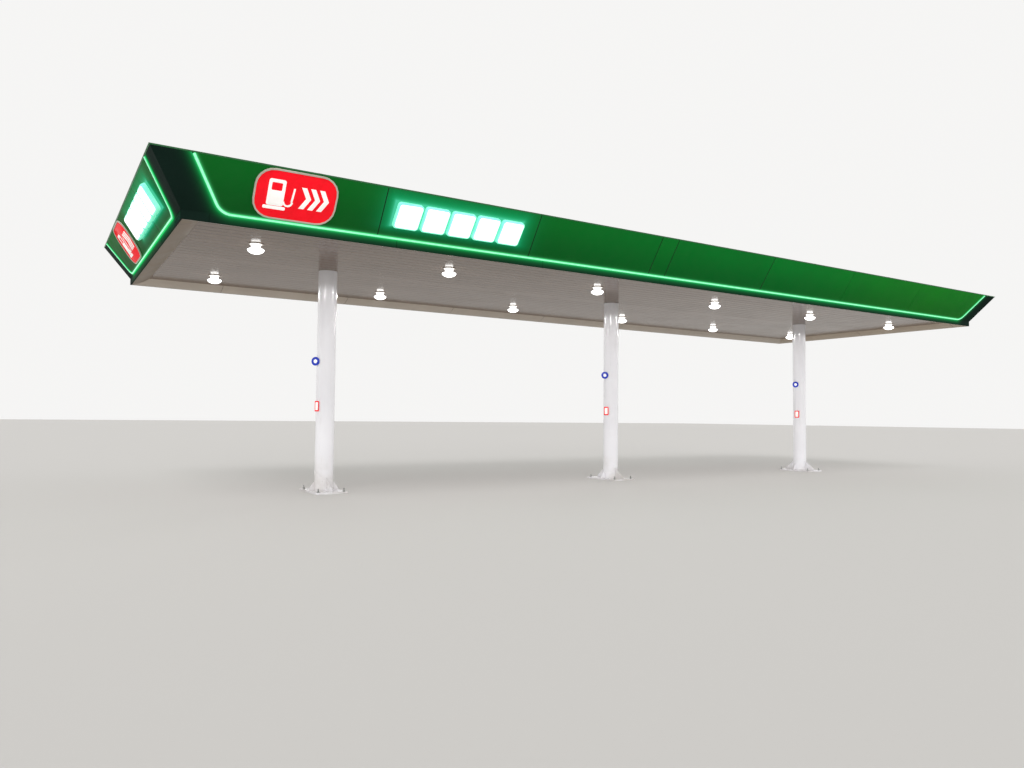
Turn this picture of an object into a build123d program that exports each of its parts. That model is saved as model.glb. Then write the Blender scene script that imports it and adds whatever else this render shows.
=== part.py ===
# Filling station canopy: three round steel columns in one row carry a long roof whose
# fascia leans outwards on all four sides, with a light line round each coloured field.
# Frame: origin on the ground under the middle of the roof, +X along the roof, -Y is the
# front, +Z up. Millimetres.
import os
from math import atan2, cos, hypot, sin, tan

from build123d import *

os.makedirs("parts", exist_ok=True)

# Columns, each a welded piece: base plate, gussets, tube and head plate
column_spacing = 8000
column_diameter = 406.4
column_wall = 9.5
base_plate_width = 700
base_plate_length = 1150
base_plate_thickness = 35
anchor_edge_distance = 70
anchor_hole_diameter = 36
gusset_edge_distance = 25
gusset_toe = 30
gusset_height_along = 180
gusset_height_across = 280
gusset_thickness = 15
head_plate_size = 460
head_plate_thickness = 25

# Roof outline, taken at the lower lip of the fascia
end_overhang = 3550
roof_width = 7240
soffit_height = 4800
lip_drop = 130
lip_band_height = 140
fascia_height = 920
fascia_lean = 530

# Fascia build-up, measured square to its face
panel_depth = 30
panel_skin = 4
panel_joint = 6
panel_width = 3180
filler_width = 480
first_panel_width = 3220
panels_before_filler = 3
corner_strip_width = 600
light_radius = 24
light_bend_radius = 300
light_clearance = 0.5
light_end_gap = 13
corner_toe = 80
mitre_gap = 2

# Cap flashing and soffit cove
cap_thickness = 3
cap_face_leg = 20
cap_width = 160
cap_back_leg = 60
cove_width = 370
cove_thickness = 12
cove_bulge = 28

# Soffit
soffit_thickness = 30
strip_width = 250
strip_groove_width = 10
strip_groove_depth = 9
column_clearance = 4
fit_clearance = 0.5

# Steel frame
cross_beam_bottom_clearance = 70
cross_beam_root_depth = 360
cross_beam_tip_depth = 180
cross_beam_flange_width = 200
cross_beam_flange = 14
cross_beam_web = 10
stiffener_thickness = 12
roof_fall = 0.015
roof_beam_depth = 180
roof_beam_width = 90
roof_beam_flange = 8
roof_beam_web = 6
roof_beam_first = 350
roof_beams_per_side = 4
frame_setback = 225
gutter_depth = 140
gutter_thickness = 3
gutter_side_clearance = 5
deck_drip = 50
deck_thickness = 2
deck_seam_pitch = 475
deck_seam_height = 38
deck_seam_width = 16

# Fascia frames
bracket_width = 50
bracket_member = 60
bracket_bottom_clearance = 10
long_brackets_per_bay = 4
end_brackets = 5
end_bracket_inset = 350
rail_size = 40
header_depth = 190
header_flange = 60
header_thickness = 8

# Soffit rails and hangers
soffit_rail_depth = 50
soffit_rail_width = 60
hanger_diameter = 20

# Lamps
lamp_rows_offset = 1900
lamps_per_row = 6
lamps_per_bay = 2
lamp_flange_diameter = 270
lamp_flange_thickness = 12
lamp_can_diameter = 230
lamp_can_height = 220
lamp_neck_diameter = 170
lamp_neck_height = 112
lamp_neck_bulge = 10
lamp_glass_diameter = 300
lamp_glass_drop = 66

# Values that follow
half_length = column_spacing + end_overhang
half_width = roof_width / 2
lip_height = soffit_height - lip_drop
roof_top = lip_height + fascia_height
fold_height = lip_height + lip_band_height
face_height = fascia_height - lip_band_height
lean = atan2(fascia_lean, face_height)
slope_length = hypot(face_height, fascia_lean)
light_gap = light_radius + light_clearance
light_rise = light_gap
panel_top = (face_height - cap_thickness - panel_depth * sin(lean)) / cos(lean)
light_top = (face_height - cap_thickness - cap_face_leg) / cos(lean) - light_end_gap
fold_back = fold_height + panel_depth * (1 / cos(lean) - 1) / tan(lean)
frame_depth = panel_depth + bracket_member
column_top = soffit_height + soffit_thickness + cross_beam_bottom_clearance
cross_beam_top = column_top + cross_beam_root_depth
fall = atan2(roof_fall, 1)
frame_half_width = half_width - frame_setback
frame_half_length = half_length - frame_setback
roof_beam_last = frame_half_width - roof_beam_width / 2
roof_beam_pitch = (roof_beam_last - roof_beam_first) / (roof_beams_per_side - 1)
roof_beam_rows = [roof_beam_first + i * roof_beam_pitch for i in range(roof_beams_per_side)]
bracket_bottom = soffit_height + soffit_thickness + bracket_bottom_clearance
column_places = [-column_spacing, 0, column_spacing]
anchor_spacing_along = base_plate_width - 2 * anchor_edge_distance
anchor_spacing_across = base_plate_length - 2 * anchor_edge_distance
long_bracket_pitch = column_spacing / long_brackets_per_bay
long_brackets = 2 * int(frame_half_length / long_bracket_pitch + 0.5)
long_bracket_places = [(i - (long_brackets - 1) / 2) * long_bracket_pitch for i in range(long_brackets)]
end_bracket_pitch = 2 * (roof_beam_last - end_bracket_inset) / (end_brackets - 1)
end_bracket_places = [(i - (end_brackets - 1) / 2) * end_bracket_pitch for i in range(end_brackets)]
lamp_pitch = column_spacing / lamps_per_bay
gutter_half = roof_beam_first - roof_beam_width / 2 - gutter_side_clearance
deck_inner = gutter_half - deck_drip
lamp_places = [(i - (lamps_per_row - 1) / 2) * lamp_pitch for i in range(lamps_per_row)]


def save(piece, name):
    """Label a finished piece and write it under its own name."""
    piece.part.label = name
    export_step(piece.part, f"parts/{name}.step")


def face_plane(side):
    """Leaning face of a fascia side: x along the side, y up the slope, from the fold's middle."""
    if side == "front":
        return Plane((0, -half_width, fold_height), x_dir=(1, 0, 0), z_dir=(0, -cos(lean), -sin(lean)))
    return Plane((-half_length, 0, fold_height), x_dir=(0, -1, 0), z_dir=(-cos(lean), 0, -sin(lean)))


def section_plane(side, station):
    """Cross-section of a side at a station: x outwards from the lip line, y the height."""
    if side == "front":
        return Plane((station, -half_width, 0), x_dir=(0, -1, 0), z_dir=(-1, 0, 0))
    return Plane((-half_length, station, 0), x_dir=(-1, 0, 0), z_dir=(0, 1, 0))


def side_half(side):
    """Half the length of a side at the lip."""
    return half_length if side == "front" else half_width


def reach_at(height, depth=0):
    """Distance outwards from the lip line of the leaning face, or of a plane behind it."""
    return (height - fold_height) * tan(lean) - depth / cos(lean)


def cut_mitres(side):
    """Cut the piece in work at both corners of its side, square to the corner in plan."""
    if side == "front":
        for hand in (-1, 1):
            corner = (hand * (half_length - mitre_gap / 2), -half_width, 0)
            split(bisect_by=Plane(corner, z_dir=(hand, 1, 0)), keep=Keep.BOTTOM)
    else:
        for hand in (-1, 1):
            corner = (-half_length, hand * (half_width - mitre_gap / 2), 0)
            split(bisect_by=Plane(corner, z_dir=(1, hand, 0)), keep=Keep.BOTTOM)


def field_face(side, grow, top, mode=Mode.ADD):
    """Sketch the coloured field with its two lower corners rounded like the light line."""
    foot = light_rise - grow
    lean_rate = fascia_lean / slope_length
    edge = side_half(side) - corner_strip_width + grow * hypot(1, lean_rate)
    low = edge + foot * lean_rate
    high = edge + top * lean_rate
    with BuildSketch(mode=Mode.PRIVATE) as field:
        Polygon((-low, foot), (low, foot), (high, top), (-high, top), align=None)
        feet = [v for v in field.vertices() if v.Y < foot + 1]
        fillet(feet, radius=light_bend_radius + grow)
    add(field.sketch, mode=mode)


def deck_underside(distance):
    """Height of the deck's underside at a distance from the roof's middle line."""
    return cross_beam_top + distance * roof_fall + roof_beam_depth / cos(fall)


# Columns
for place, name in zip(column_places, ("column_left", "column_middle", "column_right")):
    with BuildPart() as column:
        with BuildSketch():
            with Locations((place, 0)):
                Rectangle(base_plate_width, base_plate_length)
                with GridLocations(anchor_spacing_along, anchor_spacing_across, 2, 2):
                    Circle(anchor_hole_diameter / 2, mode=Mode.SUBTRACT)
        extrude(amount=base_plate_thickness)
        with BuildSketch(Plane.XY.offset(base_plate_thickness)):
            with Locations((place, 0)):
                Circle(column_diameter / 2)
                Circle(column_diameter / 2 - column_wall, mode=Mode.SUBTRACT)
        extrude(amount=column_top - head_plate_thickness - base_plate_thickness)
        with BuildSketch(Plane.XY.offset(column_top - head_plate_thickness)):
            with Locations((place, 0)):
                RectangleRounded(head_plate_size, head_plate_size, 30)
        extrude(amount=head_plate_thickness)
        for direction, plate, height in (
            ((1, 0, 0), base_plate_width, gusset_height_along),
            ((-1, 0, 0), base_plate_width, gusset_height_along),
            ((0, 1, 0), base_plate_length, gusset_height_across),
            ((0, -1, 0), base_plate_length, gusset_height_across),
        ):
            inner = (column_diameter - column_wall) / 2
            outer = plate / 2 - gusset_edge_distance
            normal = (direction[1], -direction[0], 0)
            with BuildSketch(Plane((place, 0, base_plate_thickness), x_dir=direction, z_dir=normal)):
                Polygon((inner, 0), (outer, 0), (outer, gusset_toe), (inner + gusset_toe, height),
                        (inner, height), align=None)
            extrude(amount=gusset_thickness / 2, both=True)
    save(column, name)

# Cross beams, a tapered double cantilever on each column
tip_top = cross_beam_top + frame_half_width * roof_fall
tip_bottom = tip_top - cross_beam_tip_depth
seat = head_plate_size / 2 + 40
outline = [
    (0, cross_beam_top),
    (frame_half_width, tip_top),
    (frame_half_width, tip_bottom),
    (seat, column_top),
    (-seat, column_top),
    (-frame_half_width, tip_bottom),
    (-frame_half_width, tip_top),
]
for place, name in zip(column_places, ("cross_beam_left", "cross_beam_middle", "cross_beam_right")):
    with BuildPart() as cross_beam:
        with BuildSketch(Plane.YZ.offset(place)):
            Polygon(*outline, align=None)
        extrude(amount=cross_beam_flange_width / 2, both=True)
        pocket_width = (cross_beam_flange_width - cross_beam_web) / 2
        for hand in (-1, 1):
            pocket_start = place + hand * cross_beam_flange_width / 2
            with BuildSketch(Plane.YZ.offset(pocket_start)):
                for end in (-1, 1):
                    inner_edge = seat * 0.5 + stiffener_thickness
                    Polygon(
                        (end * inner_edge, cross_beam_top + inner_edge * roof_fall - cross_beam_flange),
                        (end * (frame_half_width - stiffener_thickness),
                         tip_top - cross_beam_flange - stiffener_thickness * roof_fall),
                        (end * (frame_half_width - stiffener_thickness), tip_bottom + cross_beam_flange + 5),
                        (end * seat, column_top + cross_beam_flange),
                        (end * inner_edge, column_top + cross_beam_flange),
                        align=None,
                    )
                mid_edge = seat * 0.5
                Polygon(
                    (-mid_edge, column_top + cross_beam_flange),
                    (mid_edge, column_top + cross_beam_flange),
                    (mid_edge, cross_beam_top + mid_edge * roof_fall - cross_beam_flange),
                    (0, cross_beam_top - cross_beam_flange),
                    (-mid_edge, cross_beam_top + mid_edge * roof_fall - cross_beam_flange),
                    align=None,
                )
            extrude(amount=-hand * pocket_width, mode=Mode.SUBTRACT)
    save(cross_beam, name)

# Roof beams along the roof, square to its fall, four on each side
slope_front = Plane((0, 0, cross_beam_top), x_dir=(0, -cos(fall), sin(fall)), z_dir=(-1, 0, 0))
beam_length = 2 * (frame_half_length - header_flange)
with BuildPart() as front_roof_beams:
    with BuildSketch(slope_front):
        with Locations(*[(row / cos(fall), roof_beam_depth / 2) for row in roof_beam_rows]):
            Rectangle(roof_beam_width, roof_beam_depth)
        pocket = (roof_beam_width - roof_beam_web) / 2
        for hand in (-1, 1):
            offset_from_row = hand * (roof_beam_web + pocket) / 2
            with Locations(*[(row / cos(fall) + offset_from_row, roof_beam_depth / 2)
                             for row in roof_beam_rows]):
                Rectangle(pocket, roof_beam_depth - 2 * roof_beam_flange, mode=Mode.SUBTRACT)
    extrude(amount=beam_length / 2, both=True)
save(front_roof_beams, "front_roof_beams")
with BuildPart() as rear_roof_beams:
    mirror(front_roof_beams.part, about=Plane.XZ)
save(rear_roof_beams, "rear_roof_beams")

# Gutter between the two inner roof beams
gutter_bottom = cross_beam_top + gutter_half * roof_fall
with BuildPart() as roof_gutter:
    with BuildSketch(Plane.YZ):
        with Locations((0, gutter_bottom + gutter_depth / 2)):
            Rectangle(2 * gutter_half, gutter_depth)
        with Locations((0, gutter_bottom + gutter_thickness + gutter_depth / 2)):
            Rectangle(2 * (gutter_half - gutter_thickness), gutter_depth, mode=Mode.SUBTRACT)
    extrude(amount=beam_length / 2, both=True)
    for end in (-1, 1):
        with BuildSketch(Plane.YZ.offset(end * (beam_length / 2 - gutter_thickness / 2))):
            with Locations((0, gutter_bottom + gutter_depth / 2)):
                Rectangle(2 * gutter_half, gutter_depth)
        extrude(amount=gutter_thickness / 2, both=True)
save(roof_gutter, "roof_gutter")

# Roof deck, standing seams that run down the fall to the gutter
deck_half = half_length + reach_at(deck_underside(deck_inner), frame_depth) - fit_clearance
deck_outer = half_width + reach_at(deck_underside(frame_half_width), frame_depth) - fit_clearance
seam_count = int(2 * deck_half / deck_seam_pitch)
seam_places = [(i - (seam_count - 1) / 2) * deck_seam_pitch for i in range(seam_count)]
deck_plane = Plane(
    (0, -deck_inner, cross_beam_top + deck_inner * roof_fall),
    x_dir=(1, 0, 0),
    z_dir=(0, -cos(fall), sin(fall)),
)
with BuildPart() as front_roof_deck:
    with BuildSketch(deck_plane):
        with Locations((0, roof_beam_depth / cos(fall) + deck_thickness / 2)):
            Rectangle(2 * deck_half, deck_thickness)
        with Locations(*[(x, roof_beam_depth / cos(fall) + deck_seam_height / 2) for x in seam_places]):
            Rectangle(deck_seam_width, deck_seam_height)
    extrude(amount=(deck_outer - deck_inner) / cos(fall))
save(front_roof_deck, "front_roof_deck")
with BuildPart() as rear_roof_deck:
    mirror(front_roof_deck.part, about=Plane.XZ)
save(rear_roof_deck, "rear_roof_deck")


def bracket(side, station, inner_top, outer_top):
    """One welded bracket: a post bent at the fold, two chords and an upright, round one opening."""
    member = bracket_member
    post_top = roof_top - cap_thickness
    post_foot = lip_height + 45
    with BuildSketch(section_plane(side, station)) as outline:
        Polygon(
            (-panel_depth, post_foot),
            (-panel_depth, fold_back),
            (reach_at(post_top, panel_depth), post_top),
            (reach_at(post_top, frame_depth), post_top),
            (reach_at(outer_top, frame_depth), outer_top),
            (-frame_setback, inner_top),
            (-frame_setback, bracket_bottom),
            (-frame_depth, bracket_bottom),
            (-frame_depth, post_foot),
            align=None,
        )
        low = bracket_bottom + member
        high_outer = outer_top - member
        Polygon(
            (-frame_setback + member, low),
            (reach_at(low, frame_depth), low),
            (reach_at(high_outer, frame_depth), high_outer),
            (-frame_setback + member, inner_top - member),
            align=None,
            mode=Mode.SUBTRACT,
        )
    extrude(outline.sketch, amount=bracket_width / 2, both=True)


def rails(side):
    """Three rails along a side behind the panels, from corner to corner."""
    rail_rises = (105, slope_length / 2, slope_length - 85)
    run = side_half(side) + fascia_lean
    for rise in rail_rises:
        plane = face_plane(side)
        with BuildSketch(plane.offset(-panel_depth)) as rail:
            with Locations((0, rise)):
                Rectangle(2 * run, rail_size)
        extrude(rail.sketch, amount=-rail_size)
    cut_mitres(side)


# Fascia frames
outer_underside = deck_underside(deck_outer)
inner_underside = deck_underside(frame_half_width)
with BuildPart() as front_fascia_frame:
    rails("front")
    for station in long_bracket_places:
        bracket("front", station, inner_underside, outer_underside)
save(front_fascia_frame, "front_fascia_frame")
with BuildPart() as rear_fascia_frame:
    mirror(front_fascia_frame.part, about=Plane.XZ)
save(rear_fascia_frame, "rear_fascia_frame")
with BuildPart() as left_fascia_frame:
    rails("left")
    for station in end_bracket_places:
        under = deck_underside(max(abs(station) - bracket_width / 2, deck_inner))
        bracket("left", station, under, under)
    header_top = deck_underside(0) - 5
    with BuildSketch(Plane.XZ):
        with Locations((-frame_half_length + header_flange / 2, header_top - header_depth / 2)):
            Rectangle(header_flange, header_depth)
        with Locations((-frame_half_length + (header_flange - header_thickness) / 2,
                        header_top - header_depth / 2)):
            Rectangle(header_flange - header_thickness, header_depth - 2 * header_thickness,
                      mode=Mode.SUBTRACT)
    extrude(amount=frame_half_width - 1, both=True)
save(left_fascia_frame, "left_fascia_frame")
with BuildPart() as right_fascia_frame:
    mirror(left_fascia_frame.part, about=Plane.YZ)
save(right_fascia_frame, "right_fascia_frame")


def fascia_panels(side, seams):
    """Folded trays with a joint at each seam, open at the back."""
    far = side_half(side) + fascia_lean
    edges = [-far] + list(seams) + [far]
    plane = face_plane(side)
    for start, stop in zip(edges, edges[1:]):
        low = start + panel_joint / 2
        high = stop - panel_joint / 2
        with BuildSketch(plane) as tray:
            field_face(side, -light_gap, panel_top)
            with Locations(((low + high) / 2, slope_length / 2)):
                Rectangle(high - low, 2 * slope_length, mode=Mode.INTERSECT)
        extrude(tray.sketch, amount=-panel_depth)
        with BuildSketch(plane.offset(-panel_skin)) as hollow:
            field_face(side, -light_gap - panel_skin, panel_top - panel_skin)
            with Locations(((low + high) / 2, slope_length / 2)):
                Rectangle(high - low - 2 * panel_skin, 2 * slope_length, mode=Mode.INTERSECT)
        extrude(hollow.sketch, amount=-(panel_depth - panel_skin), mode=Mode.SUBTRACT)


# Fascia panels
long_seams = [-half_length + first_panel_width + i * panel_width for i in range(panels_before_filler)]
next_seam = long_seams[-1] + filler_width
while next_seam < half_length - corner_strip_width:
    long_seams.append(next_seam)
    next_seam += panel_width
with BuildPart() as front_fascia_panels:
    fascia_panels("front", long_seams)
save(front_fascia_panels, "front_fascia_panels")
with BuildPart() as rear_fascia_panels:
    add(front_fascia_panels.part, rotation=(0, 0, 180))
save(rear_fascia_panels, "rear_fascia_panels")
with BuildPart() as left_fascia_panels:
    fascia_panels("left", (-panel_width / 2, panel_width / 2))
save(left_fascia_panels, "left_fascia_panels")
with BuildPart() as right_fascia_panels:
    mirror(left_fascia_panels.part, about=Plane.YZ)
save(right_fascia_panels, "right_fascia_panels")

# Corner pieces, two wings folded on the corner, outside the light line and above the fold
corner_inner = corner_strip_width + corner_toe
with BuildPart() as corner_front_left:
    with BuildSketch(face_plane("front")):
        Polygon(
            (-half_length, 0),
            (-half_length + corner_inner, 0),
            (-half_length + corner_inner, panel_top),
            (-half_length - fascia_lean * panel_top / slope_length, panel_top),
            align=None,
        )
        field_face("front", light_gap, 2 * slope_length, mode=Mode.SUBTRACT)
    extrude(amount=-panel_depth)
    split(bisect_by=Plane((-half_length, -half_width, 0), z_dir=(-1, 1, 0)), keep=Keep.BOTTOM)
    mirror(about=Plane((-half_length, -half_width, 0), z_dir=(-1, 1, 0)))
save(corner_front_left, "corner_front_left")
with BuildPart() as corner_front_right:
    mirror(corner_front_left.part, about=Plane.YZ)
save(corner_front_right, "corner_front_right")
with BuildPart() as corner_rear_left:
    mirror(corner_front_left.part, about=Plane.XZ)
save(corner_rear_left, "corner_rear_left")
with BuildPart() as corner_rear_right:
    mirror(corner_front_right.part, about=Plane.XZ)
save(corner_rear_right, "corner_rear_right")


def lip(side):
    """Upright border band under the light line, its top edge cut square to the leaning face."""
    with BuildSketch(section_plane(side, 0)) as band:
        Polygon(
            (0, lip_height),
            (0, fold_height),
            (-panel_depth * cos(lean), fold_height + panel_depth * sin(lean)),
            (-panel_depth, fold_back),
            (-panel_depth, lip_height),
            align=None,
        )
    extrude(band.sketch, amount=side_half(side), both=True)
    cut_mitres(side)


def cap(side):
    """Folded flashing over the top edge."""
    outer = reach_at(roof_top) + cap_thickness
    face_low = roof_top - cap_face_leg
    back = outer - cap_width
    with BuildSketch(section_plane(side, 0)) as fold:
        Polygon(
            (reach_at(face_low) + cap_thickness, face_low),
            (outer, roof_top),
            (back, roof_top),
            (back, roof_top - cap_back_leg),
            (back + cap_thickness, roof_top - cap_back_leg),
            (back + cap_thickness, roof_top - cap_thickness),
            (reach_at(roof_top - cap_thickness), roof_top - cap_thickness),
            (reach_at(face_low), face_low),
            align=None,
        )
    extrude(fold.sketch, amount=side_half(side) + 2 * fascia_lean, both=True)
    cut_mitres(side)


def light_line(side):
    """One tube up a slanted end, along the foot of the field and up the other end."""
    lean_rate = fascia_lean / slope_length
    edge = side_half(side) - corner_strip_width
    low = edge + light_rise * lean_rate
    high = edge + light_top * lean_rate
    plane = face_plane(side)
    with BuildLine(plane) as path:
        FilletPolyline((-high, light_top), (-low, light_rise), (low, light_rise), (high, light_top),
                       radius=light_bend_radius)
    with BuildSketch(Plane(path.line @ 0, z_dir=path.line % 0)) as section:
        Circle(light_radius)
    sweep(section.sketch, path=path.line)


def cove(side):
    """Curved trim from the lip up to the soffit."""
    outer = -panel_depth - fit_clearance
    inner = -cove_width + fit_clearance
    start = (outer, lip_height)
    stop = (inner, soffit_height)
    middle = ((outer + inner) / 2 + cove_bulge / 2, (lip_height + soffit_height) / 2 - cove_bulge)
    start_top = (outer, lip_height + cove_thickness)
    stop_top = (inner, soffit_height + cove_thickness)
    middle_top = (middle[0], middle[1] + cove_thickness)
    with BuildSketch(section_plane(side, 0)) as curve:
        with BuildLine():
            ThreePointArc(start, middle, stop)
            Line(stop, stop_top)
            ThreePointArc(stop_top, middle_top, start_top)
            Line(start_top, start)
        make_face()
    extrude(curve.sketch, amount=side_half(side) + fascia_lean, both=True)
    cut_mitres(side)


# Border bands, flashings, light lines and coves, front and left made, rear and right mirrored
for build, label in ((lip, "lip"), (cap, "cap_flashing"), (light_line, "light_line"), (cove, "soffit_cove")):
    for side, opposite, mirror_plane in (("front", "rear", Plane.XZ), ("left", "right", Plane.YZ)):
        with BuildPart() as trim:
            build(side)
        save(trim, f"{side}_{label}")
        with BuildPart() as trim_opposite:
            mirror(trim.part, about=mirror_plane)
        save(trim_opposite, f"{opposite}_{label}")

# Soffit, grooved into strips that run along the roof, with holes for columns and lamps
soffit_half_length = half_length - cove_width
soffit_half_width = half_width - cove_width
strips_per_side = int(soffit_half_width / strip_width)
with BuildPart() as front_soffit:
    with BuildSketch(Plane.XY.offset(soffit_height)):
        with Locations((0, -soffit_half_width / 2)):
            Rectangle(2 * soffit_half_length, soffit_half_width - fit_clearance)
        with Locations(*[(x, 0) for x in column_places]):
            Circle(column_diameter / 2 + column_clearance, mode=Mode.SUBTRACT)
        with Locations(*[(x, -lamp_rows_offset) for x in lamp_places]):
            Circle(lamp_can_diameter / 2 + fit_clearance, mode=Mode.SUBTRACT)
    extrude(amount=soffit_thickness)
    with BuildSketch(Plane.XY.offset(soffit_height)):
        with Locations(*[(0, -(i + 1) * strip_width) for i in range(strips_per_side - 1)]):
            Rectangle(2 * soffit_half_length, strip_groove_width)
    extrude(amount=strip_groove_depth, mode=Mode.SUBTRACT)
save(front_soffit, "front_soffit")
with BuildPart() as rear_soffit:
    mirror(front_soffit.part, about=Plane.XZ)
save(rear_soffit, "rear_soffit")

# Soffit rails across the roof, each with hangers up to the roof beams
rail_bottom = soffit_height + soffit_thickness
with BuildPart() as soffit_rails:
    for station in long_bracket_places:
        with BuildSketch(Plane.XY.offset(rail_bottom)):
            with Locations((station, 0)):
                Rectangle(soffit_rail_width, 2 * frame_half_width)
        extrude(amount=soffit_rail_depth)
        for row in roof_beam_rows[:3]:
            for hand in (-1, 1):
                top = cross_beam_top + row * roof_fall
                with BuildSketch(Plane.XY.offset(rail_bottom + soffit_rail_depth)):
                    with Locations((station, hand * (row + 20))):
                        Rectangle(hanger_diameter, hanger_diameter)
                extrude(amount=top - rail_bottom - soffit_rail_depth)
save(soffit_rails, "soffit_rails")

# Lamps, a can through the soffit with a flange under it and a glass that widens downwards
with BuildPart() as lamp_housings:
    for x in lamp_places:
        for y in (-lamp_rows_offset, lamp_rows_offset):
            with BuildSketch(Plane.XY.offset(soffit_height - lamp_flange_thickness)):
                with Locations((x, y)):
                    Circle(lamp_flange_diameter / 2)
            extrude(amount=lamp_flange_thickness)
            with BuildSketch(Plane.XY.offset(soffit_height)):
                with Locations((x, y)):
                    Circle(lamp_can_diameter / 2)
            extrude(amount=lamp_can_height)
save(lamp_housings, "lamp_housings")
neck_radius = lamp_neck_diameter / 2
glass_radius = lamp_glass_diameter / 2
neck_middle = ((neck_radius + glass_radius) / 2 + lamp_neck_bulge, -lamp_neck_height / 2)
bowl_depth = lamp_neck_height + lamp_glass_drop
bowl_radius = (glass_radius**2 + lamp_glass_drop**2) / (2 * lamp_glass_drop)
bowl_turn = atan2(glass_radius, bowl_radius - lamp_glass_drop) / 2
bowl_middle = (bowl_radius * sin(bowl_turn), bowl_radius - bowl_depth - bowl_radius * cos(bowl_turn))
with BuildPart() as lamp_glasses:
    for x in lamp_places:
        for y in (-lamp_rows_offset, lamp_rows_offset):
            seat_level = soffit_height - lamp_flange_thickness
            with BuildSketch(Plane((x, y, seat_level), x_dir=(1, 0, 0), z_dir=(0, -1, 0))) as bowl:
                with BuildLine():
                    Polyline((0, -bowl_depth), (0, 0), (neck_radius, 0))
                    ThreePointArc((neck_radius, 0), neck_middle, (glass_radius, -lamp_neck_height))
                    ThreePointArc((glass_radius, -lamp_neck_height), bowl_middle, (0, -bowl_depth))
                make_face()
            revolve(bowl.sketch, axis=Axis((x, y, 0), (0, 0, 1)))
save(lamp_glasses, "lamp_glasses")
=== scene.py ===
# Filling station canopy: finishes, signs, fixings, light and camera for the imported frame.
# Metres, +X along the roof, -Y is the front, +Z up, origin on the ground under the middle.
import math

import bmesh
import bpy
from mathutils import Matrix, Vector


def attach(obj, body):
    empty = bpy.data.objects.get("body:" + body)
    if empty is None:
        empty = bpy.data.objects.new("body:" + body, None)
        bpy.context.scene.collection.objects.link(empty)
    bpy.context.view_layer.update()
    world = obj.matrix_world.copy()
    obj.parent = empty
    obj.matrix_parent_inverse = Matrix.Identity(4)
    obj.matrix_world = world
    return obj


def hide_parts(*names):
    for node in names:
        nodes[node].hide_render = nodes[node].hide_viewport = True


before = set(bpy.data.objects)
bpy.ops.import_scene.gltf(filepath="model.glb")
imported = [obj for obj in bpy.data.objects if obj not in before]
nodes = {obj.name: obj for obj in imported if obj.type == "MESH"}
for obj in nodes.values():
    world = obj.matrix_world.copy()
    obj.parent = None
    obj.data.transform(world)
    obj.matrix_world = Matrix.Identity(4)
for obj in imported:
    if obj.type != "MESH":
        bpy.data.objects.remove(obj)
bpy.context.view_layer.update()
print("frame loaded:", len(nodes), "nodes")

roof = {
    "halfLength": 11.55,  # at the lip
    "halfWidth": 3.62,
    "foldHeight": 4.81,  # upright band below, leaning face above
    "topHeight": 5.59,
    "lean": 0.53,
    "cornerStrip": 0.6,
    "lightRadius": 0.024,
    "lightBend": 0.3,
    "stripWidth": 0.25,
    "sheetLength": 3.18,
    "gutterFloor": 5.2675,
}
faceHeight = roof["topHeight"] - roof["foldHeight"]
leanAngle = math.atan2(roof["lean"], faceHeight)
slopeLength = math.hypot(faceHeight, roof["lean"])
leanRate = roof["lean"] / slopeLength
lightV = 0.0245  # the light line's middle, up the slope from the fold
skin = 0.002  # what lies deeper behind the leaning face takes no light

columns = {
    "places": (-8.0, 0.0, 8.0),
    "radius": 0.2032,
    "plateTop": 0.035,
    "anchorX": 0.28,
    "anchorY": 0.505,
}

lamps = {
    "pitch": 4.0,
    "rowOffset": 1.9,
    "perRow": 6,
    "neckRadius": 0.085,
    "flangeBottom": 4.788,
}
lampPlaces = [
    ((i - (lamps["perRow"] - 1) / 2) * lamps["pitch"], row * lamps["rowOffset"])
    for i in range(lamps["perRow"])
    for row in (-1, 1)
]

# Signs, placed on a face by u, along it to the viewer's right, and v, up its slope
signs = {
    "front": {"emblemU": -9.85, "blocksU": -6.82, "blocksV": 0.485, "pitch": 0.53},
    "left": {"emblemU": -1.41, "blocksU": 1.43, "blocksV": 0.485, "pitch": 0.54},
    "blockHeight": 0.47,
    "blockGap": 0.05,
    "blockCount": 5,
}

# Joints between the green trays, as u; a long side has one narrow tray, from -1.97 to -1.49
joints = {
    "front": (-8.33, -5.15, -1.97, -1.49, 1.69),
    "left": (-1.59, 1.59),
    "stepFrom": -1.97,
    "stepAt": -1.49,
    "stepWidth": 0.48,
    "width": 0.016,
    "height": 0.0012,
    "from": 0.052,
    "to": 0.915,
}


def linear(red, green, blue):
    # a colour written as 0 to 255 screen values, as Blender wants it
    def channel(value):
        value = value / 255
        return value / 12.92 if value <= 0.04045 else ((value + 0.055) / 1.055) ** 2.4

    return (channel(red), channel(green), channel(blue), 1.0)


black = linear(0, 0, 0)


class Sock:
    # a shader socket that takes part in plain arithmetic
    def __init__(self, shader, socket):
        self.shader = shader
        self.socket = socket

    def math(self, operation, *others):
        return self.shader.math(operation, self, *others)

    def __add__(self, other):
        return self.math("ADD", other)

    def __sub__(self, other):
        return self.math("SUBTRACT", other)

    def __rsub__(self, other):
        return self.shader.math("SUBTRACT", other, self)

    def __mul__(self, other):
        return self.math("MULTIPLY", other)

    __radd__ = __add__
    __rmul__ = __mul__

    def __truediv__(self, other):
        return self.math("DIVIDE", other)

    def __neg__(self):
        return self.math("MULTIPLY", -1.0)

    def __abs__(self):
        return self.math("ABSOLUTE")

    def __pow__(self, other):
        return self.math("POWER", other)

    def atLeast(self, other):
        return self.math("MAXIMUM", other)

    def over(self, other):
        return self.math("GREATER_THAN", other)

    def fade(self, length):
        # of a distance: 1 at its start, and to a third over each length
        return (self * (-1 / length)).math("EXPONENT")


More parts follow.
